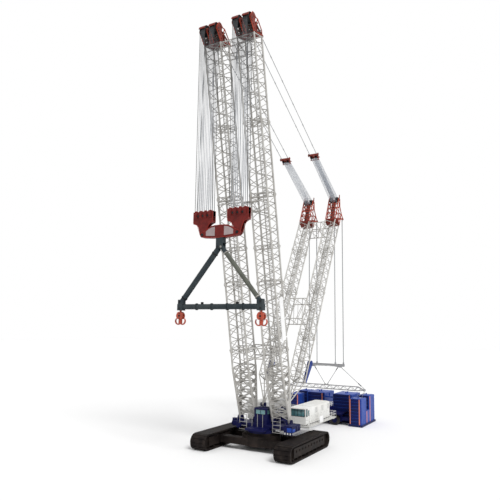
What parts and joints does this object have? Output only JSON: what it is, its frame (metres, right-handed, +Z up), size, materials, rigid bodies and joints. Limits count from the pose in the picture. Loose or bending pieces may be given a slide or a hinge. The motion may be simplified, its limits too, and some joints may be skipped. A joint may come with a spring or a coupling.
{
  "type": "scale model of a crawler crane, 1:10",
  "caption": "Crawler crane at 1:10 with twin lattice booms and masts, hook blocks on a beam and spreader, white house and cab, and blue ballast on a wheeled carrier.",
  "frame": {"origin": "on the ground under the slewing axis, midway between the crawlers", "axes": "+X towards the front, where the hooks hang; +Y to the crane's left; +Z up"},
  "size_m": [5.2001, 1.82, 7.0631],
  "materials": {
    "crawler_brown": "matte, dusty",
    "track_steel": "worn, dusty",
    "deck_blue": "satin",
    "ballast_blue": "satin",
    "house_white": "gloss",
    "lattice_grey": "satin",
    "sign_white": "satin",
    "head_red": "satin",
    "hook_red": "satin",
    "horn_red": "satin",
    "sheave_black": "satin",
    "pendant_grey": "satin",
    "spreader_slate": "matte",
    "wheel_tyre": "matte"
  },
  "bodies": {
    "undercarriage": {"carbody": "crawler_brown", "crawler_frame_left": "crawler_brown", "crawler_frame_right": "crawler_brown", "track_left": "track_steel", "track_right": "track_steel"},
    "superstructure": {"platform": "deck_blue", "centre_cabin": "deck_blue", "winches": "sheave_black", "machine_house": "house_white", "engine_house": "house_white", "cab": "house_white", "walkway": "house_white", "carrier": "deck_blue", "ballast_trays": "ballast_blue", "ballast_inner": "ballast_blue", "ballast_outer_left": "ballast_blue", "ballast_outer_right": "ballast_blue"},
    "cab_door": {"cab_door": "house_white"},
    "wheel_front_left": {"wheel_front_left": "wheel_tyre"},
    "wheel_front_right": {"wheel_front_right": "wheel_tyre"},
    "wheel_rear_left": {"wheel_rear_left": "wheel_tyre"},
    "wheel_rear_right": {"wheel_rear_right": "wheel_tyre"},
    "boom": {"boom_left": "lattice_grey", "boom_right": "lattice_grey", "boom_heads": "head_red", "boom_truss_top": "lattice_grey", "boom_truss_middle": "lattice_grey", "boom_truss_low": "lattice_grey", "sign_panel": "sign_white"},
    "head_sheaves": {"head_sheaves": "sheave_black"},
    "hook_tackle": {"hook_blocks": "hook_red"},
    "spreader": {"spreader": "spreader_slate"},
    "ramshorn_left": {"ramshorn_left": "horn_red"},
    "ramshorn_right": {"ramshorn_right": "horn_red"},
    "boom_stays": {"boom_stays": "sheave_black"},
    "mast": {"mast_left": "lattice_grey", "mast_right": "lattice_grey", "mast_heads": "head_red", "mast_truss_top": "lattice_grey", "mast_truss_low": "lattice_grey", "mast_winches": "deck_blue"},
    "mast_sheaves": {"mast_sheaves": "sheave_black"},
    "suspension": {"back_pendants": "pendant_grey", "bow_beam": "lattice_grey", "lower_truss": "lattice_grey"}
  },
  "joints": [
    {"name": "slew", "type": "hinge", "parent": "undercarriage", "child": "superstructure", "pos_m": [0, 0, 0.272], "axis": [0, 0, 1], "continuous": true},
    {"name": "cab_door_hinge", "type": "hinge", "parent": "superstructure", "child": "cab_door", "pos_m": [-0.641, 0.6085, 0.486], "axis": [0, 0, 1], "range_deg": [0, 100]},
    {"name": "boom_luff", "type": "hinge", "parent": "superstructure", "child": "boom", "pos_m": [-0.1, 0, 0.457], "axis": [0, 1, 0], "range_deg": [-4, 20]},
    {"name": "hoist_swing", "type": "hinge", "parent": "boom", "child": "head_sheaves", "pos_m": [1.40517, 0, 6.9302], "axis": [0, 1, 0], "range_deg": [-20, 4]},
    {"name": "hoist", "type": "slide", "parent": "head_sheaves", "child": "hook_tackle", "axis": [0, 0, 1], "range_m": [-0.9, 1]},
    {"name": "spreader_swivel", "type": "hinge", "parent": "hook_tackle", "child": "spreader", "pos_m": [1.40517, 0, 3.34], "axis": [0, 0, 1], "range_deg": [-30, 30]},
    {"name": "ramshorn_left_swivel", "type": "hinge", "parent": "spreader", "child": "ramshorn_left", "pos_m": [1.40517, 0.73, 2.25], "axis": [0, 0, 1], "continuous": true},
    {"name": "ramshorn_right_swivel", "type": "hinge", "parent": "spreader", "child": "ramshorn_right", "pos_m": [1.40517, -0.73, 2.25], "axis": [0, 0, 1], "continuous": true},
    {"name": "stay_swing", "type": "hinge", "parent": "boom", "child": "boom_stays", "pos_m": [0.90049, 0, 6.88608], "axis": [0, 1, 0], "range_deg": [-2.5, 0.8]},
    {"name": "mast_luff", "type": "hinge", "parent": "superstructure", "child": "mast", "pos_m": [-0.498, 0, 0.642], "axis": [0, 1, 0], "range_deg": [-1.5, 6]},
    {"name": "mast_sheave_spin", "type": "hinge", "parent": "mast", "child": "mast_sheaves", "pos_m": [-2.70937, 0, 4.83692], "axis": [0, 1, 0], "continuous": true},
    {"name": "suspension_swing", "type": "hinge", "parent": "mast", "child": "suspension", "pos_m": [-2.94834, 0, 4.4409], "axis": [0, 1, 0], "range_deg": [-6.5, 2]},
    {"name": "wheel_front_left_spin", "type": "hinge", "parent": "superstructure", "child": "wheel_front_left", "pos_m": [-2.75, 0.27, 0.105], "axis": [1, 0, 0], "continuous": true},
    {"name": "wheel_front_right_spin", "type": "hinge", "parent": "superstructure", "child": "wheel_front_right", "pos_m": [-2.75, -0.27, 0.105], "axis": [1, 0, 0], "continuous": true},
    {"name": "wheel_rear_left_spin", "type": "hinge", "parent": "superstructure", "child": "wheel_rear_left", "pos_m": [-2.95, 0.27, 0.105], "axis": [1, 0, 0], "continuous": true},
    {"name": "wheel_rear_right_spin", "type": "hinge", "parent": "superstructure", "child": "wheel_rear_right", "pos_m": [-2.95, -0.27, 0.105], "axis": [1, 0, 0], "continuous": true}
  ],
  "couplings": [
    {"joint": "hoist_swing", "follows": "boom_luff", "ratio": -1},
    {"joint": "stay_swing", "follows": "boom_luff", "ratio": -0.1},
    {"joint": "suspension_swing", "follows": "mast_luff", "ratio": -1}
  ]
}
